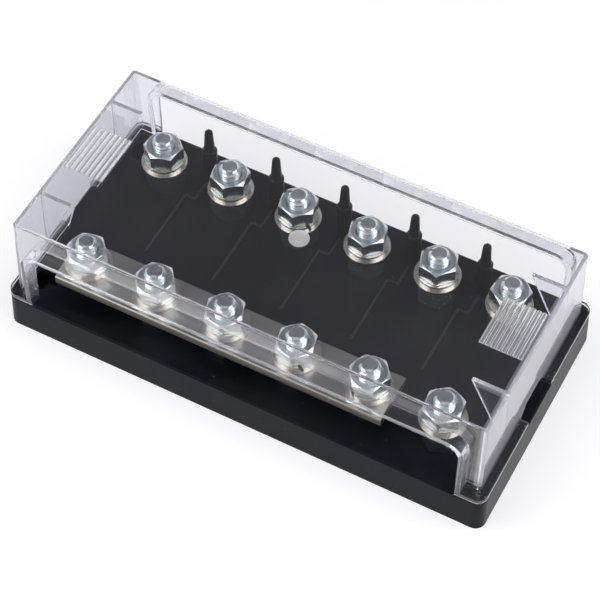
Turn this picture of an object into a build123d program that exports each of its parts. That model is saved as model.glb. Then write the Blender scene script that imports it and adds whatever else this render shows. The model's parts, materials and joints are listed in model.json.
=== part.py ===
from build123d import *
from math import radians, sqrt, tan
import os

# Fuse holder with six ways: a black moulded base, two rows of M6 terminal studs, a bus bar that
# feeds five ways, and a clear cover that lifts off. Millimetres, +Z up, +X along the row of ways,
# +Y towards the row that has no bus bar. The origin is the centre of the base's underside.

# The ways
WAYS = 6
PITCH = 21.6            # from one way to the next
ROW_GAP = 41.4          # from the front row of studs to the rear row
ROW_SHIFT = -0.9        # where the middle between the rows lies along Y
FEED_WAYS = 5           # ways that the bus bar joins, from the left

# The base
END_MARGIN = 8.4        # from the last way's own width to the end of the base
SIDE_MARGIN = 15.5      # from half the row gap to the side of the base
BASE_H = 11.7
BASE_LEAN = 0.4         # how far each side leans in, from foot to deck
BASE_CORNER_R = 3.0
BASE_EDGE = 0.5         # bevel round the deck
BASE_WALL = 2.5
DECK_T = 3.0
RIB_T = 1.4
RIB_LIFT = 0.6          # the ribs and bosses stop this far above the foot
BOSS_WALL = 2.0         # round the pocket of a stud's head
DIVIDER_H = 0.35
DIVIDER_W = 0.7
DIVIDER_REAR_L = 7.0
DIVIDER_FRONT_L = 23.0
DIVIDER_JOG = 3.1       # from the rear part of a divider to its front part

# The holes that screw the base down
MOUNT_IN_X = 7.7        # from the end of the base
MOUNT_IN_Y = 10.2       # from its side
MOUNT_HOLE_D = 4.5
MOUNT_HEAD_D = 7.2
MOUNT_HEAD_DEPTH = 5.0
MOUNT_WALL = 1.8        # of the boss round the screw head

# The pegs between the ways
PEG_Y = 27.0
PEG_LOW_D = 4.4
PEG_LOW_H = 12.1
PEG_TOP_D = 3.2
PEG_TIP_D = 2.4
PEG_TOP_H = 8.5

# Studs: hexagon head screws, put in from below
THREAD_D = 6.0
STUD_L = 25.0           # below the head
STUD_CHAMFER = 0.9
HEAD_AF = 10.0
HEAD_H = 4.0
HEAD_CLEAR = 0.15       # between the head and its pocket, on each side
SEAT_T = 6.4            # from the head's seat to the deck
STUD_CLEAR = 0.1        # between the stud and the base, all round

# Nuts and washers
NUT_AF = 10.0
NUT_H = 5.0
NUT_FACE_D = 9.5        # where the bevel starts
NUT_BEVEL_DEG = 30.0
NUT_SINK = 0.5          # countersink at each end of the thread
NUT_CLEAR = 0.05        # between nut and stud, all round
WASHER_D = 13.2
WASHER_HOLE_D = 6.4
WASHER_T = 1.2
SPRING_D = 11.8
SPRING_HOLE_D = 6.3
SPRING_T = 1.6
SPRING_SLIT = 0.9
SPRING_SLIT_DEG = 22.0  # how far the slit leans

# The bus bar
BAR_W = 15.0
BAR_T = 3.0
BAR_OVERHANG = 6.8      # beyond the first and last stud
BAR_HOLE_D = 7.0
BAR_SHIFT = 0.4         # how far the bar lies to the right in its clearance
BAR_EDGE = 0.3

# The cover
COVER_WALL = 1.0
HEADROOM = 8.9          # from the tops of the studs to the underside of the cover
COVER_CORNER_R = 1.0
COVER_IN_R = 0.3        # corners inside
COVER_EDGE = 0.5        # bevel round the top
FLANGE_T = 1.6
FLANGE_END = 2.3        # how far the foot stands out at the ends
FLANGE_SIDE = 2.6       # and at the sides
LEAN_END = 0.45         # how far an end wall leans in, from foot to top
LEAN_SIDE = 1.45
LEG_W = 6.0             # from the cable opening to the outside of the end wall
OPENING_H = 21.0
OPENING_R = 4.0
COLLAR_T = 1.6
NOTCH_FOOT_W = 15.0
NOTCH_TOP_W = 9.2
NOTCH_H = 5.2
GUSSET_Y = 18.6
GUSSET_T = 1.1
GUSSET_L = 9.4
GUSSET_H = 20.2
GRIP_RIBS = 8
GRIP_PITCH = 1.54
GRIP_W = 1.2
GRIP_H = 0.4
GRIP_L = 16.2
GRIP_IN = 7.6           # from the end wall's top edge to the middle of the grip
GATE_D = 5.6
GATE_DEPTH = 0.4
GATE_PIP_D = 2.0
MARK_D = 2.2            # round marks on the foot, left by the mould
MARK_DEPTH = 0.2

# How each nut is turned, from X, way 1 first
TOP_TURNS_FRONT = [12, 8, 50, 44, 8, 38]
TOP_TURNS_REAR = [20, 38, 41, 45, 48, 22]
LOW_TURNS_FRONT = [30, 12, 50, 4, 35, 20]
LOW_TURNS_REAR = [22, 38, 10, 58, 56, 33]
SLIT_TURNS_FRONT = [200, 65, 130, 310, 250, 95]
SLIT_TURNS_REAR = [70, 190, 330, 120, 20, 160]

# Places that follow from the sizes above
BASE_L = WAYS * PITCH + 2 * END_MARGIN
BASE_W = ROW_GAP + 2 * SIDE_MARGIN
DECK_L = BASE_L - 2 * BASE_LEAN
DECK_W = BASE_W - 2 * BASE_LEAN
FRONT_Y = ROW_SHIFT - ROW_GAP / 2
REAR_Y = ROW_SHIFT + ROW_GAP / 2
WAY_X = [(i - (WAYS - 1) / 2) * PITCH for i in range(WAYS)]
BETWEEN_X = [(i - (WAYS - 2) / 2) * PITCH for i in range(WAYS - 1)]
TALL_NUT_H = NUT_H + BAR_T
WASHER_Z = BASE_H + TALL_NUT_H
SPRING_Z = WASHER_Z + WASHER_T
NUT_Z = SPRING_Z + SPRING_T
HEAD_Z = BASE_H - SEAT_T
STUD_TOP = HEAD_Z + STUD_L
COVER_IN_TOP = STUD_TOP + HEADROOM
COVER_TOP = COVER_IN_TOP + COVER_WALL
FOOT_L = DECK_L - 2 * FLANGE_END
FOOT_W = DECK_W - 2 * FLANGE_SIDE
TOP_L = FOOT_L - 2 * LEAN_END
TOP_W = FOOT_W - 2 * LEAN_SIDE
SLACK = 1.0             # how far a cutter runs past the face that it cuts


def between(z0, z1, shape):
    """A sketch pulled up from z0 to z1."""
    return Pos(0, 0, z0) * extrude(shape, z1 - z0)


def cylinder(d, z0, z1):
    return between(z0, z1, Circle(d / 2))


def hexagon(af):
    return RegularPolygon(af / 2, 6, major_radius=False)


def bevelled_hexagon(af, face_d, height, low=True, high=True):
    """A hexagon whose corners are turned off at the ends that are named."""
    corner = af / sqrt(3)
    drop = (corner - face_d / 2) * tan(radians(NUT_BEVEL_DEG))
    outline = [(0, 0)]
    outline += [(face_d / 2, 0), (corner, drop)] if low else [(corner, 0)]
    outline += [(corner, height - drop), (face_d / 2, height)] if high else [(corner, height)]
    outline += [(0, height)]
    turned = revolve(Plane.XZ * make_face(Polyline(*outline, close=True)), Axis.Z)
    return between(0, height, hexagon(af)) & turned


def nut(height):
    """A hexagon nut with a countersink at each end of its thread, standing on z = 0."""
    bore_r = THREAD_D / 2 + NUT_CLEAR
    cutter = cylinder(2 * bore_r, -SLACK, height + SLACK)
    sink = Cone(bore_r + NUT_SINK, bore_r, NUT_SINK, align=(Align.CENTER, Align.CENTER, Align.MIN))
    cutter += sink
    cutter += Pos(0, 0, height) * Rot(180, 0, 0) * sink
    return bevelled_hexagon(NUT_AF, NUT_FACE_D, height) - cutter


def stud():
    """A screw with its hexagon head downwards. The seat of the head is at z = 0."""
    shank = chamfer(cylinder(THREAD_D, 0, STUD_L).edges().group_by(Axis.Z)[-1], STUD_CHAMFER)
    head = Pos(0, 0, -HEAD_H) * bevelled_hexagon(HEAD_AF, NUT_FACE_D, HEAD_H, high=False)
    return shank + head


def ring(outer_d, hole_d, thickness):
    return cylinder(outer_d, 0, thickness) - cylinder(hole_d, -SLACK, thickness + SLACK)


def spring_washer():
    """One coil, pressed flat, with a slit that leans."""
    slit = Box(SPRING_D, SPRING_SLIT, 4 * SPRING_T, align=(Align.MIN, Align.CENTER, Align.CENTER))
    return ring(SPRING_D, SPRING_HOLE_D, SPRING_T) - Pos(0, 0, SPRING_T / 2) * Rot(SPRING_SLIT_DEG, 0, 0) * slit


def tapered(foot_l, foot_w, top_l, top_w, z0, z1, corner_r, edge=0):
    """A block with leaning sides and, if an edge is given, a bevel round its top."""
    sections = [Pos(0, 0, z0) * RectangleRounded(foot_l, foot_w, corner_r)]
    sections.append(Pos(0, 0, z1 - edge) * RectangleRounded(top_l, top_w, corner_r))
    if edge:
        sections.append(Pos(0, 0, z1) * RectangleRounded(top_l - 2 * edge, top_w - 2 * edge, corner_r - edge))
    return loft(sections, ruled=True)


def mount_places():
    return [(sx * (BASE_L / 2 - MOUNT_IN_X), sy * (BASE_W / 2 - MOUNT_IN_Y)) for sx in (-1, 1) for sy in (-1, 1)]


def stud_places():
    return [(x, y) for y in (FRONT_Y, REAR_Y) for x in WAY_X]


def peg():
    """A stepped, round peg that stands on the deck."""
    low_r = PEG_LOW_D / 2
    top_r = PEG_TOP_D / 2
    tip_r = PEG_TIP_D / 2
    step_z = PEG_LOW_H
    tip_z = PEG_LOW_H + PEG_TOP_H - tip_r
    outline = Polyline((0, -DECK_T / 2), (low_r, -DECK_T / 2), (low_r, step_z), (top_r, step_z + low_r - top_r), (tip_r, tip_z))
    tip = RadiusArc((tip_r, tip_z), (0, tip_z + tip_r), -tip_r)
    stem = Line((0, tip_z + tip_r), (0, -DECK_T / 2))
    return revolve(Plane.XZ * make_face([outline, tip, stem]), Axis.Z)


def deck_dividers():
    """Low lines on the deck between the ways, each with a jog."""
    lines = []
    jog_y = PEG_Y - PEG_LOW_D / 2 - DIVIDER_REAR_L
    front_end = jog_y - DIVIDER_FRONT_L
    for x in BETWEEN_X:
        lines.append(Pos(x, (PEG_Y + jog_y) / 2) * Rectangle(DIVIDER_W, PEG_Y - jog_y))
        lines.append(Pos(x - DIVIDER_JOG / 2, jog_y) * Rectangle(DIVIDER_JOG + DIVIDER_W, DIVIDER_W))
        lines.append(Pos(x - DIVIDER_JOG, (jog_y + front_end) / 2) * Rectangle(DIVIDER_W, DIVIDER_FRONT_L))
    return between(BASE_H - DECK_T / 2, BASE_H + DIVIDER_H, Sketch() + lines)


def base_ribs():
    """The ribs below the deck: one along each row, and one across between the ways and at each screw."""
    across = BETWEEN_X + sorted({x for x, y in mount_places()})
    lines = [Pos(x, 0) * Rectangle(RIB_T, BASE_W - BASE_WALL) for x in across]
    lines += [Pos(0, y) * Rectangle(BASE_L - BASE_WALL, RIB_T) for y in (FRONT_Y, REAR_Y)]
    return between(RIB_LIFT, BASE_H - DECK_T / 2, Sketch() + lines)


def base():
    """An open-bottomed moulding with ribs, a boss round each stud and screw, and pegs on its deck."""
    body = tapered(BASE_L, BASE_W, DECK_L, DECK_W, 0, BASE_H, BASE_CORNER_R, BASE_EDGE)
    inner_r = BASE_CORNER_R - BASE_WALL
    body -= tapered(BASE_L - 2 * BASE_WALL, BASE_W - 2 * BASE_WALL, DECK_L - 2 * BASE_WALL,
                    DECK_W - 2 * BASE_WALL, 0, BASE_H - DECK_T, inner_r)
    body += base_ribs()
    boss_d = 2 * (HEAD_AF / sqrt(3) + HEAD_CLEAR + BOSS_WALL)
    mount_d = MOUNT_HEAD_D + 2 * MOUNT_WALL
    body += [Pos(x, y) * cylinder(boss_d, RIB_LIFT, BASE_H - DECK_T / 2) for x, y in stud_places()]
    body += [Pos(x, y) * cylinder(mount_d, 0, BASE_H - DECK_T / 2) for x, y in mount_places()]
    body += [Pos(x, PEG_Y, BASE_H) * peg() for x in BETWEEN_X]
    body += deck_dividers()
    pocket = between(-SLACK, HEAD_Z, hexagon(HEAD_AF + 2 * HEAD_CLEAR))
    pocket += cylinder(THREAD_D + 2 * STUD_CLEAR, -SLACK, BASE_H + SLACK)
    screw = cylinder(MOUNT_HOLE_D, -SLACK, BASE_H + SLACK)
    screw += cylinder(MOUNT_HEAD_D, BASE_H - MOUNT_HEAD_DEPTH, BASE_H + SLACK)
    body -= [Pos(x, y) * pocket for x, y in stud_places()]
    body -= [Pos(x, y) * screw for x, y in mount_places()]
    return body


def bus_bar():
    """A flat bar on the front row, drilled for each stud that it feeds."""
    length = (FEED_WAYS - 1) * PITCH + 2 * BAR_OVERHANG
    middle = (WAY_X[0] + WAY_X[FEED_WAYS - 1]) / 2 + BAR_SHIFT
    bar = Pos(middle, FRONT_Y) * between(BASE_H + NUT_H, WASHER_Z, Rectangle(length, BAR_W))
    bar = chamfer(bar.edges().filter_by(Axis.X), BAR_EDGE)
    return bar - [Pos(x + BAR_SHIFT, FRONT_Y) * cylinder(BAR_HOLE_D, BASE_H, WASHER_Z + SLACK)
                  for x in WAY_X[:FEED_WAYS]]


def arch(half_l, top_z, corner_r):
    """The outline of a cable opening in the XZ plane, square at the foot."""
    z0 = BASE_H
    outline = Polyline((-half_l + corner_r, top_z), (half_l - corner_r, top_z))
    right = RadiusArc((half_l - corner_r, top_z), (half_l, top_z - corner_r), corner_r)
    left = RadiusArc((-half_l, top_z - corner_r), (-half_l + corner_r, top_z), corner_r)
    foot = Polyline((half_l, top_z - corner_r), (half_l, z0), (-half_l, z0), (-half_l, top_z - corner_r))
    return Plane.XZ * make_face([outline, right, foot, left])


def through_y(shape, width):
    """A sketch in the XZ plane pulled both ways along Y."""
    return extrude(shape, width / 2, both=True)


def cover_hollow():
    t = COVER_WALL
    lean = (COVER_IN_TOP - BASE_H) / (COVER_TOP - BASE_H)
    top_l = FOOT_L - 2 * LEAN_END * lean
    top_w = FOOT_W - 2 * LEAN_SIDE * lean
    return tapered(FOOT_L - 2 * t, FOOT_W - 2 * t, top_l - 2 * t, top_w - 2 * t, BASE_H, COVER_IN_TOP, COVER_IN_R)


def gussets(hollow):
    """Four triangles that stiffen the corners between the end walls and the top."""
    inner_x = TOP_L / 2 - COVER_WALL
    low_z = COVER_IN_TOP - GUSSET_H
    outline = Polyline((inner_x - GUSSET_L, COVER_TOP), (inner_x - GUSSET_L, COVER_IN_TOP), (inner_x, low_z),
                       (FOOT_L / 2, low_z), (FOOT_L / 2, COVER_TOP), close=True)
    plate = through_y(Plane.XZ * make_face(outline), GUSSET_T)
    plates = [Rot(0, 0, turn) * Pos(0, y, 0) * plate for turn in (0, 180) for y in (-GUSSET_Y, GUSSET_Y)]
    return [hollow & one for one in plates]


def grips():
    """A patch of ribs for the fingers at each end of the top."""
    middle = TOP_L / 2 - GRIP_IN
    rise = (GRIP_W ** 2 / 4 - GRIP_H ** 2) / (2 * GRIP_H)
    radius = GRIP_H + rise
    rib = Pos(0, 0, COVER_TOP - rise) * Rot(90, 0, 0) * Cylinder(radius, GRIP_L)
    above = Pos(0, 0, COVER_TOP) * Box(BASE_L, BASE_W, COVER_WALL, align=(Align.CENTER, Align.CENTER, Align.CENTER))
    rib = rib & above
    places = [(i - (GRIP_RIBS - 1) / 2) * GRIP_PITCH for i in range(GRIP_RIBS)]
    return [Pos(side * middle + x, 0, 0) * rib for side in (-1, 1) for x in places]


def cover():
    """The clear cover: a drafted box with a flanged foot, a collared cable opening on each long
    side, a notch in each end, gussets under the top and grips on it."""
    collar_half = FOOT_L / 2 - LEG_W
    opening_top = BASE_H + OPENING_H
    body = tapered(FOOT_L, FOOT_W, TOP_L, TOP_W, BASE_H, COVER_TOP, COVER_CORNER_R, COVER_EDGE)
    collar = arch(collar_half + COLLAR_T, opening_top + COLLAR_T, OPENING_R + COLLAR_T)
    foot = between(BASE_H, BASE_H + FLANGE_T, RectangleRounded(DECK_L, DECK_W, BASE_CORNER_R))
    foot -= Pos(0, 0, BASE_H) * Box(DECK_L + SLACK, NOTCH_FOOT_W, 2 * FLANGE_T)
    hollow = cover_hollow()
    body = body + through_y(collar, DECK_W) + foot
    body -= hollow
    body -= through_y(arch(collar_half, opening_top, OPENING_R), DECK_W + SLACK)
    half_foot = NOTCH_FOOT_W / 2
    half_top = NOTCH_TOP_W / 2
    notch = Polyline((-half_foot, BASE_H), (-half_foot, BASE_H + FLANGE_T), (-half_top, BASE_H + NOTCH_H),
                     (half_top, BASE_H + NOTCH_H), (half_foot, BASE_H + FLANGE_T), (half_foot, BASE_H), close=True)
    body -= extrude(Plane.YZ * make_face(notch), BASE_L, both=True)
    body += gussets(hollow)
    body += grips()
    gate = ring(GATE_D, GATE_PIP_D, GATE_DEPTH + SLACK)
    body -= Pos(0, 0, COVER_TOP - GATE_DEPTH) * gate
    mark = cylinder(MARK_D, BASE_H + FLANGE_T - MARK_DEPTH, BASE_H + FLANGE_T + SLACK)
    mark_x = (FOOT_L + DECK_L) / 4
    mark_y = (FOOT_W + DECK_W) / 4
    notch_y = NOTCH_FOOT_W / 2 + MARK_D
    body -= [Pos(sx * mark_x, sy * y) * mark for sx in (-1, 1) for sy in (-1, 1) for y in (mark_y, notch_y)]
    return body


def save(name, shape):
    solids = shape.solids()
    whole = solids[0] if len(solids) == 1 else Compound(children=list(solids))
    export_step(whole, f"parts/{name}.step")


def turned(shape, x, y, z, degrees):
    return Pos(x, y, z) * Rot(0, 0, degrees) * shape


def save_stacks(row, y, fed, top_turns, low_turns, slit_turns):
    """A row of studs with what is threaded on each, from the deck up."""
    tall_nut = nut(TALL_NUT_H)
    plain_nut = nut(NUT_H)
    screw = stud()
    spring = spring_washer()
    for i, x in enumerate(WAY_X):
        low = plain_nut if i < fed else tall_nut
        save(f"stud_{row}_{i + 1}", turned(screw, x, y, HEAD_Z, 0))
        save(f"lower_nut_{row}_{i + 1}", turned(low, x, y, BASE_H, low_turns[i % len(low_turns)]))
        save(f"spring_washer_{row}_{i + 1}", turned(spring, x, y, SPRING_Z, slit_turns[i % len(slit_turns)]))
        save(f"top_nut_{row}_{i + 1}", turned(plain_nut, x, y, NUT_Z, top_turns[i % len(top_turns)]))
    flat = ring(WASHER_D, WASHER_HOLE_D, WASHER_T)
    save(f"flat_washers_{row}", Compound(children=[Pos(x, y, WASHER_Z) * flat for x in WAY_X]))


os.makedirs("parts", exist_ok=True)
save("base", base())
save("bus_bar", bus_bar())
save("cover", cover())
save_stacks("front", FRONT_Y, FEED_WAYS, TOP_TURNS_FRONT, LOW_TURNS_FRONT, SLIT_TURNS_FRONT)
save_stacks("rear", REAR_Y, 0, TOP_TURNS_REAR, LOW_TURNS_REAR, SLIT_TURNS_REAR)
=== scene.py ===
import json
from math import cos, pi, radians, sin

import bmesh
import bpy
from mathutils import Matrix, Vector

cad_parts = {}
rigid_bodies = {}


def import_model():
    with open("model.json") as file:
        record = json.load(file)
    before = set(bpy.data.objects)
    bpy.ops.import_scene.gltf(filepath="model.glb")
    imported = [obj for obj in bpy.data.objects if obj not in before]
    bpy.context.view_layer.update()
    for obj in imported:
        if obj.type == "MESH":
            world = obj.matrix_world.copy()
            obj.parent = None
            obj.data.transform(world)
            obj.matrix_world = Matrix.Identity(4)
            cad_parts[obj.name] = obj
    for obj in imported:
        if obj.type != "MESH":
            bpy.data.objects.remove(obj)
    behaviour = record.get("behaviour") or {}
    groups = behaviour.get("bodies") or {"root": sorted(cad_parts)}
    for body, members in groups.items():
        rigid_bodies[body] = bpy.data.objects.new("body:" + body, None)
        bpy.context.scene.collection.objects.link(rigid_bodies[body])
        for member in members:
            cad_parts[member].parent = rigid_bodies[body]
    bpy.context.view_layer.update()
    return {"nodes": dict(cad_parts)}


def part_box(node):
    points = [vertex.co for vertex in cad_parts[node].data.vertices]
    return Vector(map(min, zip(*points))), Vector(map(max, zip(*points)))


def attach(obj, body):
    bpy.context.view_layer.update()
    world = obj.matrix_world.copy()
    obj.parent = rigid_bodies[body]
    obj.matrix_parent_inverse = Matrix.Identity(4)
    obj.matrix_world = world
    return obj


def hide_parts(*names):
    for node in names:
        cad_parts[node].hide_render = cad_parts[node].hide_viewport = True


# A fuse holder with six ways: black moulded base, zinc-plated studs and nuts, a bus bar and a clear
# cover. Metres, +Z up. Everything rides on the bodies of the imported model.

MM = 0.001

# The camera
CAMERA_PLACE = Vector((0.1588, -0.2980, 0.4743))
CAMERA_LOOK = Vector((-0.2772, 0.5211, -0.8073))
CAMERA_LENS = 124.18
CAMERA_SENSOR = 36.0
CAMERA_CLIP = 0.01

# The floor and the light
FLOOR_SIZE = 3.0
FLOOR_GAP = 0.05 * MM
FLOOR_COLOUR = (0.50, 0.50, 0.51)
FLOOR_SPECK = 0.985
FLOOR_GLOW = 0.60
SKY_STOPS = [
    # share of the way from straight down to straight up, level
    (0.0, 1.00),
    (0.50, 1.00),
    (0.64, 0.95),
    (0.78, 0.20),
    (0.90, 0.09),
    (0.955, 0.30),
    (1.0, 0.75),
]
SKY_TINT = (1.0, 1.0, 1.045)
SOFTBOXES = [
    # azimuth from +X, elevation, distance, width, height, radiance
    (-140.0, 40.0, 0.75, 0.55, 0.60, 2.6),
    (5.0, 42.0, 0.75, 0.55, 0.60, 2.6),
]
LIGHT_AIM = Vector((0.0, 0.0, 0.02))
LIGHT_BOUNCES = 28      # light runs far inside the cover's walls

# The studs and their threads
HEAD_H = 4.0 * MM
PITCH = 1.0 * MM
MAJOR_R = 3.0 * MM
MINOR_R = 2.387 * MM
THREAD_START = 10.5 * MM      # from the underside of the base
THREAD_SIDES = 48
ROOT_END = 0.25               # the parts of a thread, as shares of its pitch
CREST_START = 0.5625
CREST_END = 0.6875
FLANK = 0.3125
THREAD_STEPS = [0.0, ROOT_END, 0.40625, CREST_START, CREST_END, 0.84375]
STUD_END_R = 2.1 * MM
WELD = 0.001 * MM
SMOOTH_UP_TO = radians(32)

# The painted highlight on the tops of the low lines on the deck, and its dust
LINE_MIDDLE_Z = 12.0 * MM
LINE_HALF_Z = 0.12 * MM
LINE_FADE = 0.03 * MM
LINE_HIGHLIGHT_COLOUR = (0.026, 0.026, 0.028)
DUST_FROM = 0.72
DUST_FULL = 0.78
DUST_COLOUR = (0.045, 0.045, 0.045)
NO_COLOUR = (0.0, 0.0, 0.0)

# The clear plastic, and its milk where it is fully milky
CLEAR_IOR = 1.585
CLEAR_COLOUR = (0.975, 0.975, 1.0, 1.0)
CLEAR_SHARE = 0.995
CLEAR_SHADE = (0.93, 0.93, 0.95, 1.0)
SHEEN = 0.38
SHEEN_ROUGHNESS = 0.38
SHEEN_COLOUR = (0.93, 0.92, 1.0, 1.0)
MILK = 0.48
MILK_ROUGHNESS = 0.07
MASK_FADE = 0.1 * MM

# The gate mark in the middle of the cover, which is fully milky
GATE_R = 2.8 * MM
GATE_FROM_Z = 39.3 * MM

# The grips on the cover, from its middle
GRIP_MIDDLE_X = 62.45 * MM
GRIP_HALF_X = 6.2 * MM
GRIP_HALF_Y = 8.1 * MM
GRIP_FROM_Z = 39.9 * MM
GRIP_SHARE = 0.5

# The faint haze of the cover's end walls
END_MIDDLE_X = 71.0 * MM
END_HALF_X = 2.6 * MM
END_MIDDLE_Z = 27.3 * MM
END_HALF_Z = 11.9 * MM
END_FADE_X = 0.2 * MM
END_FADE_Z = 0.3 * MM
END_SHARE = 0.34


# Helpers for materials


def new_material(name):
    """A material with only its output node and a Principled shader."""
    material = bpy.data.materials.new(name)
    material.use_nodes = True
    tree = material.node_tree
    tree.nodes.clear()
    output = tree.nodes.new("ShaderNodeOutputMaterial")
    shader = tree.nodes.new("ShaderNodeBsdfPrincipled")
    tree.links.new(shader.outputs["BSDF"], output.inputs["Surface"])
    return material, tree, shader, output


def add(tree, kind, links=None, **values):
    """A node with its inputs set by name, or linked by name."""
    made = tree.nodes.new(kind)
    for key, value in values.items():
        made.inputs[key.replace("_", " ")].default_value = value
    for key, source in (links or {}).items():
        tree.links.new(source, made.inputs[key])
    return made


def combine(tree, operation, *sources):
    """One operation on values, each of them a number or the output of a node."""
    made = tree.nodes.new("ShaderNodeMath")
    made.operation = operation
    for socket, source in zip(made.inputs, sources):
        if isinstance(source, float):
            socket.default_value = source
        else:
            tree.links.new(source, socket)
    return made.outputs[0]


def place(tree, scale=(1.0, 1.0, 1.0)):
    """Coordinates on the object in metres, stretched by a scale for each axis."""
    coordinates = tree.nodes.new("ShaderNodeTexCoord")
    mapping = add(tree, "ShaderNodeMapping", {"Vector": coordinates.outputs["Object"]}, Scale=scale)
    return mapping.outputs["Vector"]


def axes(tree):
    """Coordinates on the object in metres, with an output for each axis."""
    return add(tree, "ShaderNodeSeparateXYZ", {"Vector": place(tree)}).outputs


def noise(tree, vector, scale, detail=3.0, roughness=0.5):
    links = {"Vector": vector}
    made = add(tree, "ShaderNodeTexNoise", links, Scale=scale, Detail=detail, Roughness=roughness)
    return made.outputs["Fac"]


def ramp(tree, source, stops):
    made = add(tree, "ShaderNodeValToRGB", {"Fac": source})
    elements = made.color_ramp.elements
    while len(elements) < len(stops):
        elements.new(0.5)
    for element, (position, colour) in zip(elements, stops):
        element.position = position
        element.color = (*colour, 1.0)
    return made.outputs["Color"]


def add_colours(tree, first, second):
    return add(tree, "ShaderNodeVectorMath", {0: first, 1: second}).outputs["Vector"]


def span(tree, source, low, high):
    """A value that runs from 0 to 1, moved to run from low to high."""
    made = add(tree, "ShaderNodeMapRange", {"Value": source}, To_Min=low, To_Max=high)
    return made.outputs["Result"]


def above(tree, source, start, fade):
    """0 where a value is below its start, and 1 from a fade above it."""
    made = add(tree, "ShaderNodeMapRange", {"Value": source}, From_Min=start, From_Max=start + fade)
    return made.outputs["Result"]


def within(tree, source, end, fade):
    """1 where a value is below its end, and 0 from a fade above it."""
    return span(tree, above(tree, source, end, fade), 1.0, 0.0)


def near(tree, source, middle, half, fade):
    """1 where a coordinate is within half of its middle, and 0 further out."""
    away = combine(tree, "ABSOLUTE", combine(tree, "SUBTRACT", source, middle))
    return within(tree, away, half, fade)


def bumps(tree, height, distance, strength, normal):
    links = {"Height": height, "Normal": normal}
    made = add(tree, "ShaderNodeBump", links, Strength=strength, Distance=distance)
    return made.outputs["Normal"]


def soft_edges(tree, radius):
    made = add(tree, "ShaderNodeBevel", Radius=radius)
    made.samples = 6
    return made.outputs["Normal"]


def dress(tree, shader, **sources):
    """Links sources to the shader's inputs by name."""
    for key, source in sources.items():
        tree.links.new(source, shader.inputs[key.replace("_", " ")])


# Materials


def black_plastic():
    """Filled black plastic with a fine spark-eroded grain, a little dust, and a painted highlight on
    the tops of the low lines.
    """
    material, tree, shader, _ = new_material("base_black")
    vector = place(tree)
    cloud = noise(tree, vector, 55.0, 4.0)
    grain = noise(tree, vector, 2600.0, 2.0)
    specks = noise(tree, vector, 900.0, 2.0)
    # Painted highlight: a band at the height of the low lines' tops, where the colour is made lighter
    # to stand in for light caught on their edges.
    lines = near(tree, axes(tree)["Z"], LINE_MIDDLE_Z, LINE_HALF_Z, LINE_FADE)
    colour = ramp(tree, cloud, [(0.3, (0.0030, 0.0033, 0.0052)), (0.7, (0.0105, 0.0110, 0.0140))])
    dust = ramp(tree, specks, [(DUST_FROM, NO_COLOUR), (DUST_FULL, DUST_COLOUR)])
    painted_line_highlight = ramp(tree, lines, [(0.0, NO_COLOUR), (1.0, LINE_HIGHLIGHT_COLOUR)])
    shader.inputs["IOR"].default_value = 1.20
    shader.inputs["Specular Tint"].default_value = (0.80, 0.82, 1.0, 1.0)
    dress(tree, shader,
          Base_Color=add_colours(tree, colour, add_colours(tree, dust, painted_line_highlight)),
          Roughness=span(tree, cloud, 0.26, 0.42),
          Normal=bumps(tree, grain, 0.02 * MM, 0.35, soft_edges(tree, 0.40 * MM)))
    return material


def zinc_steel():
    """Satin zinc plate on steel, slightly blue, with a mottle."""
    material, tree, shader, _ = new_material("zinc_plate")
    vector = place(tree)
    cloud = noise(tree, vector, 260.0, 4.0, 0.6)
    pits = noise(tree, vector, 1800.0, 3.0)
    stops = [(0.25, (0.56, 0.63, 0.65)), (0.5, (0.70, 0.76, 0.77)), (0.8, (0.80, 0.84, 0.82))]
    shader.inputs["Metallic"].default_value = 1.0
    dress(tree, shader,
          Base_Color=ramp(tree, cloud, stops),
          Roughness=span(tree, cloud, 0.17, 0.33),
          Normal=bumps(tree, pits, 0.02 * MM, 0.5, soft_edges(tree, 0.04 * MM)))
    return material


def plated_washer():
    """Warm nickel plate with faint rolled lines."""
    material, tree, shader, _ = new_material("washer_plate")
    cloud = noise(tree, place(tree), 300.0, 3.0)
    lines = noise(tree, place(tree, (1.0, 9.0, 1.0)), 500.0, 4.0)
    shader.inputs["Metallic"].default_value = 1.0
    dress(tree, shader,
          Base_Color=ramp(tree, cloud, [(0.3, (0.66, 0.64, 0.58)), (0.7, (0.75, 0.73, 0.68))]),
          Roughness=span(tree, lines, 0.16, 0.30),
          Normal=bumps(tree, lines, 0.02 * MM, 0.3, soft_edges(tree, 0.06 * MM)))
    return material


def plated_bar():
    """Tin-plated brass, brushed along its length."""
    material, tree, shader, _ = new_material("bar_plate")
    cloud = noise(tree, place(tree), 90.0, 3.0)
    brushed = noise(tree, place(tree, (1.0, 40.0, 40.0)), 70.0, 5.0, 0.65)
    shader.inputs["Metallic"].default_value = 1.0
    dress(tree, shader,
          Base_Color=ramp(tree, cloud, [(0.3, (0.34, 0.328, 0.305)), (0.7, (0.43, 0.418, 0.395))]),
          Roughness=span(tree, brushed, 0.24, 0.46),
          Normal=bumps(tree, brushed, 0.03 * MM, 0.5, soft_edges(tree, 0.15 * MM)))
    return material


def gate_mask(tree):
    """1 on the round gate mark of the cover."""
    x, y, z = axes(tree)
    square = combine(tree, "ADD", combine(tree, "MULTIPLY", x, x), combine(tree, "MULTIPLY", y, y))
    disc = within(tree, combine(tree, "SQRT", square), GATE_R, MASK_FADE)
    return combine(tree, "MULTIPLY", disc, above(tree, z, GATE_FROM_Z, MASK_FADE))


def grip_mask(tree):
    """1 on the two ribbed grips of the cover."""
    x, y, z = axes(tree)
    along = near(tree, combine(tree, "ABSOLUTE", x), GRIP_MIDDLE_X, GRIP_HALF_X, MASK_FADE)
    across = near(tree, y, 0.0, GRIP_HALF_Y, MASK_FADE)
    high = above(tree, z, GRIP_FROM_Z, MASK_FADE)
    return combine(tree, "MULTIPLY", combine(tree, "MULTIPLY", along, across), high)


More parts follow.
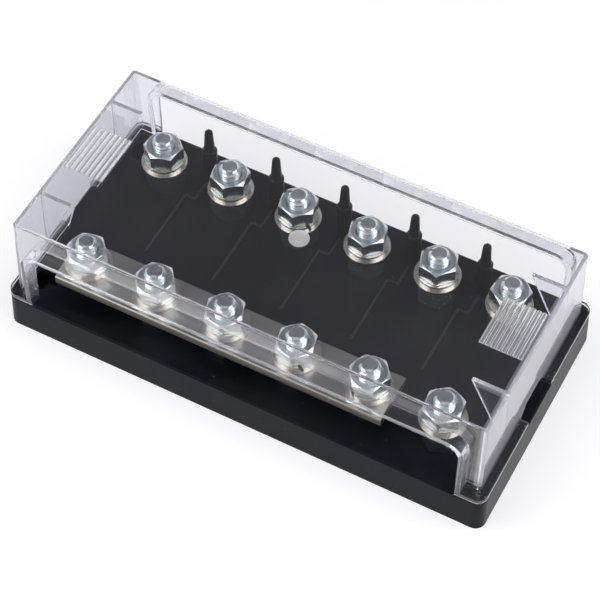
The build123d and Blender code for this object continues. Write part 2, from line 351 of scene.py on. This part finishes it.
def end_mask(tree):
    """1 on the two end walls of the cover, above its foot."""
    x, _, z = axes(tree)
    outside = near(tree, combine(tree, "ABSOLUTE", x), END_MIDDLE_X, END_HALF_X, END_FADE_X)
    standing = near(tree, z, END_MIDDLE_Z, END_HALF_Z, END_FADE_Z)
    return combine(tree, "MULTIPLY", outside, standing)


def clear_plastic():
    """Clear polycarbonate, milky in places. It lets light through to what it covers."""
    material, tree, shader, output = new_material("cover_clear")
    flow = noise(tree, place(tree), 22.0, 2.0)
    scuffs = noise(tree, place(tree, (1.0, 5.0, 1.0)), 240.0, 5.0, 0.7)
    grips = span(tree, grip_mask(tree), 0.0, GRIP_SHARE)
    ends = span(tree, end_mask(tree), 0.0, END_SHARE)
    mask = combine(tree, "MAXIMUM", combine(tree, "MAXIMUM", grips, gate_mask(tree)), ends)
    haze = combine(tree, "ADD", span(tree, scuffs, 0.0, 0.035), span(tree, mask, 0.0, MILK_ROUGHNESS))
    shader.inputs["Base Color"].default_value = CLEAR_COLOUR
    shader.inputs["IOR"].default_value = CLEAR_IOR
    shader.inputs["Sheen Weight"].default_value = SHEEN
    shader.inputs["Sheen Roughness"].default_value = SHEEN_ROUGHNESS
    shader.inputs["Sheen Tint"].default_value = SHEEN_COLOUR
    dress(tree, shader,
          Transmission_Weight=span(tree, mask, CLEAR_SHARE, 1.0 - MILK),
          Roughness=haze,
          Normal=bumps(tree, flow, 0.15 * MM, 0.25, soft_edges(tree, 0.18 * MM)))
    path = tree.nodes.new("ShaderNodeLightPath").outputs
    soft = combine(tree, "MAXIMUM", path["Is Shadow Ray"], path["Is Diffuse Ray"])
    through = add(tree, "ShaderNodeBsdfTransparent", Color=CLEAR_SHADE)
    sources = {"Fac": soft, 1: shader.outputs["BSDF"], 2: through.outputs["BSDF"]}
    mix = add(tree, "ShaderNodeMixShader", sources)
    tree.links.new(mix.outputs["Shader"], output.inputs["Surface"])
    return material


def floor_white():
    """Pale floor that keeps the object's shadow. It looks white to the camera and in reflections."""
    material, tree, shader, output = new_material("floor_pale")
    tree.nodes.remove(shader)
    speck = noise(tree, place(tree), 3.0, 2.0)
    low = tuple(c * FLOOR_SPECK for c in FLOOR_COLOUR)
    colour = ramp(tree, speck, [(0.3, low), (0.7, FLOOR_COLOUR)])
    paint = add(tree, "ShaderNodeBsdfDiffuse", {"Color": colour})
    path = tree.nodes.new("ShaderNodeLightPath").outputs
    seen = combine(tree, "MAXIMUM", path["Is Camera Ray"], path["Is Glossy Ray"])
    seen = combine(tree, "MAXIMUM", seen, path["Is Transmission Ray"])
    level = combine(tree, "MULTIPLY", seen, FLOOR_GLOW)
    glow = add(tree, "ShaderNodeEmission", {"Strength": level}, Color=(1.0, 1.0, 1.0, 1.0))
    both = add(tree, "ShaderNodeAddShader", {0: paint.outputs["BSDF"], 1: glow.outputs["Emission"]})
    tree.links.new(both.outputs["Shader"], output.inputs["Surface"])
    return material


# Pieces


def stud_head(bm, source, seat_z):
    """The head of a stud as the solid has it, closed where the shank was."""
    bm.from_mesh(source)
    bmesh.ops.remove_doubles(bm, verts=bm.verts, dist=WELD)
    shank = [f for f in bm.faces if f.calc_center_median().z > seat_z + 10 * WELD]
    bmesh.ops.delete(bm, geom=shank, context="FACES")
    bmesh.ops.holes_fill(bm, edges=[e for e in bm.edges if e.is_boundary], sides=0)


def thread_radius(step):
    """The radius of a 60 degree thread at a share of its pitch."""
    if step < ROOT_END:
        return MINOR_R
    if step < CREST_START:
        return MINOR_R + (MAJOR_R - MINOR_R) * (step - ROOT_END) / FLANK
    if step <= CREST_END:
        return MAJOR_R
    return MAJOR_R - (MAJOR_R - MINOR_R) * (step - CREST_END) / FLANK


def thread_rows(top_z):
    """Rows of (height at angle 0, radius), each a share of a turn above the last."""
    turns = int((top_z - THREAD_START) / PITCH) + 3
    shares = [(turn, step) for turn in range(turns) for step in THREAD_STEPS]
    return [(THREAD_START + PITCH * (turn - 1 + step), thread_radius(step)) for turn, step in shares]


def thread_point(row, angle, x, y, top_z):
    """A point on the thread, kept below the end of the stud and inside its chamfer."""
    height = row[0] + PITCH * angle / (2 * pi)
    radius = row[1]
    if height < THREAD_START:
        height, radius = THREAD_START, MAJOR_R
    height = min(height, top_z)
    radius = min(radius, STUD_END_R + top_z - height)
    return Vector((x + radius * cos(angle), y + radius * sin(angle), height))


def stud_thread(bm, x, y, seat_z, top_z):
    """A round shank with a helical thread, from the head's seat to the end of the stud."""
    rows = thread_rows(top_z)
    angles = [2 * pi * i / THREAD_SIDES for i in range(THREAD_SIDES)]
    grid = [[bm.verts.new(thread_point(row, a, x, y, top_z)) for a in angles] for row in rows]
    steps = len(THREAD_STEPS)
    for j in range(len(rows) - 1):
        for i in range(THREAD_SIDES):
            row, side = (j, i + 1) if i + 1 < THREAD_SIDES else (j + steps, 0)
            if row + 1 >= len(rows):
                continue
            bm.faces.new((grid[j][i], grid[row][side], grid[row + 1][side], grid[j + 1][i]))
    bottom = [bm.verts.new((x + MAJOR_R * cos(a), y + MAJOR_R * sin(a), seat_z)) for a in angles]
    first = [bm.verts.new((v.co.x, v.co.y, THREAD_START)) for v in bottom]
    for i in range(THREAD_SIDES):
        k = (i + 1) % THREAD_SIDES
        bm.faces.new((bottom[i], bottom[k], first[k], first[i]))
    bm.faces.new(list(reversed(bottom)))
    end = [bm.verts.new((x + STUD_END_R * cos(a), y + STUD_END_R * sin(a), top_z)) for a in angles]
    bm.faces.new(end)


def threaded_stud(name, node, material):
    """A stud with its real thread, in place of the plain one."""
    low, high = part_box(node)
    x, y = (low.x + high.x) / 2, (low.y + high.y) / 2
    seat_z = low.z + HEAD_H
    bm = bmesh.new()
    stud_head(bm, frame["nodes"][node].data, seat_z)
    stud_thread(bm, x, y, seat_z, high.z)
    bmesh.ops.remove_doubles(bm, verts=bm.verts, dist=WELD)
    bmesh.ops.dissolve_degenerate(bm, edges=bm.edges, dist=WELD / 2)
    mesh = bpy.data.meshes.new(name)
    bm.to_mesh(mesh)
    bm.free()
    mesh.shade_smooth()
    mesh.set_sharp_from_angle(angle=SMOOTH_UP_TO)
    piece = bpy.data.objects.new(name, mesh)
    bpy.context.collection.objects.link(piece)
    mesh.materials.append(material)
    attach(piece, "base_assembly")
    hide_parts(node)


def dress_nodes(materials):
    """Each solid takes the material of its slot."""
    for node in frame["nodes"].values():
        for slot in node.material_slots:
            slot.material = materials[slot.material.name]


# The scene


def make_floor():
    half = FLOOR_SIZE / 2
    mesh = bpy.data.meshes.new("floor")
    corners = [(-half, -half), (half, -half), (half, half), (-half, half)]
    mesh.from_pydata([(x, y, -FLOOR_GAP) for x, y in corners], [], [(0, 1, 2, 3)])
    mesh.materials.append(floor_white())
    floor = bpy.data.objects.new("floor", mesh)
    bpy.context.collection.objects.link(floor)


def make_sky():
    """Light from all round: white near the horizon and grey above."""
    world = bpy.data.worlds.new("studio")
    bpy.context.scene.world = world
    world.use_nodes = True
    tree = world.node_tree
    tree.nodes.clear()
    output = tree.nodes.new("ShaderNodeOutputWorld")
    coordinates = tree.nodes.new("ShaderNodeTexCoord")
    parts = add(tree, "ShaderNodeSeparateXYZ", {"Vector": coordinates.outputs["Generated"]})
    height = above(tree, parts.outputs["Z"], -1.0, 2.0)
    stops = [(at, tuple(level * tint for tint in SKY_TINT)) for at, level in SKY_STOPS]
    shade = add(tree, "ShaderNodeBackground", {"Color": ramp(tree, height, stops)}, Strength=1.0)
    tree.links.new(shade.outputs["Background"], output.inputs["Surface"])


def make_softbox(number, azimuth, elevation, distance, width, height, radiance):
    data = bpy.data.lights.new(f"softbox_{number}", "AREA")
    data.shape = "RECTANGLE"
    data.size = width
    data.size_y = height
    data.energy = radiance * width * height * pi
    lamp = bpy.data.objects.new(f"softbox_{number}", data)
    a, e = radians(azimuth), radians(elevation)
    lamp.location = LIGHT_AIM + distance * Vector((cos(e) * cos(a), cos(e) * sin(a), sin(e)))
    lamp.rotation_euler = (LIGHT_AIM - lamp.location).to_track_quat("-Z", "Y").to_euler()
    lamp.visible_camera = False
    bpy.context.collection.objects.link(lamp)


def make_camera():
    data = bpy.data.cameras.new("camera")
    data.lens = CAMERA_LENS
    data.sensor_width = CAMERA_SENSOR
    data.clip_start = CAMERA_CLIP
    camera = bpy.data.objects.new("camera", data)
    camera.location = CAMERA_PLACE
    camera.rotation_euler = CAMERA_LOOK.to_track_quat("-Z", "Y").to_euler()
    bpy.context.collection.objects.link(camera)
    bpy.context.scene.camera = camera


for leftover in list(bpy.data.objects):
    bpy.data.objects.remove(leftover)
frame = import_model()
materials = {
    "black_plastic": black_plastic(),
    "plated_bar": plated_bar(),
    "clear_plastic": clear_plastic(),
    "zinc_steel": zinc_steel(),
    "plated_washer": plated_washer(),
}
dress_nodes(materials)
for row in ("front", "rear"):
    for way in range(1, 7):
        threaded_stud(f"stud_thread_{row}_{way}", f"stud_{row}_{way}", materials["zinc_steel"])
make_floor()
make_sky()
for number, softbox in enumerate(SOFTBOXES, 1):
    make_softbox(number, *softbox)
make_camera()
scene = bpy.context.scene
scene.view_settings.view_transform = "Standard"
scene.cycles.max_bounces = LIGHT_BOUNCES
scene.cycles.transmission_bounces = LIGHT_BOUNCES
scene.cycles.glossy_bounces = LIGHT_BOUNCES
